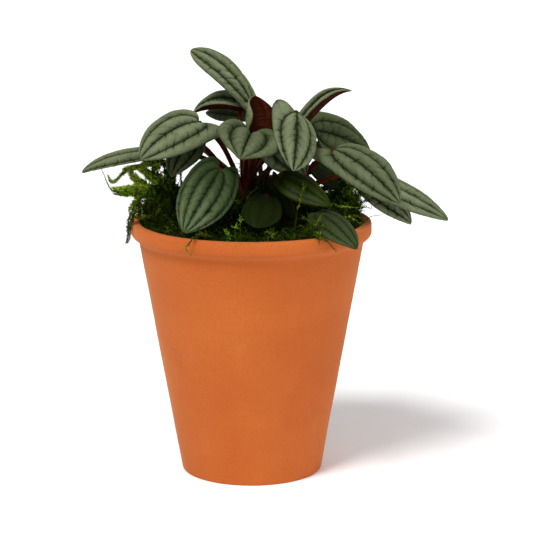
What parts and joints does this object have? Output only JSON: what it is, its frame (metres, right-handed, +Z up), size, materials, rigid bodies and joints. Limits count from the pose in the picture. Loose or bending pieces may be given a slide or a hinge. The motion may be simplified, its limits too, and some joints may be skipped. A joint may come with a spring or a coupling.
{
  "type": "potted peperomia",
  "caption": "Small peperomia plants with puckered silver-green leaves on dark red stalks, standing in a moss bed in a round clay pot with a rolled rim.",
  "frame": {"origin": "middle of the pot's foot, on the surface that it stands on", "axes": "+Z up along the pot's axis; -Y is the front that the picture shows; +X is the viewer's right"},
  "size_m": [0.1654, 0.1211, 0.1909],
  "materials": {
    "clay": "matte unglazed terracotta",
    "soil": "crumbly, damp, dark",
    "moss": "soft and matte",
    "stalk": "smooth, slightly glossy, dark red",
    "leaf": "satin silver-green with dark green veins, maroon underneath"
  },
  "bodies": {
    "root": {"pot": "clay", "potting_soil": "soil", "moss_bed": "moss", "crown_1": "stalk", "crown_2": "stalk", "crown_3": "stalk", "crown_4": "stalk", "leaf_01": "leaf", "leaf_02": "leaf", "leaf_03": "leaf", "leaf_04": "leaf", "leaf_05": "leaf", "leaf_06": "leaf", "leaf_07": "leaf", "leaf_08": "leaf", "leaf_09": "leaf", "leaf_10": "leaf", "leaf_11": "leaf", "leaf_12": "leaf", "leaf_13": "leaf", "leaf_14": "leaf", "leaf_15": "leaf", "leaf_16": "leaf", "leaf_17": "leaf", "leaf_18": "leaf", "leaf_19": "leaf", "leaf_20": "leaf", "leaf_21": "leaf", "leaf_22": "leaf", "leaf_23": "leaf", "leaf_24": "leaf", "leaf_25": "leaf", "leaf_26": "leaf", "leaf_27": "leaf", "leaf_28": "leaf"}
  },
  "joints": []
}
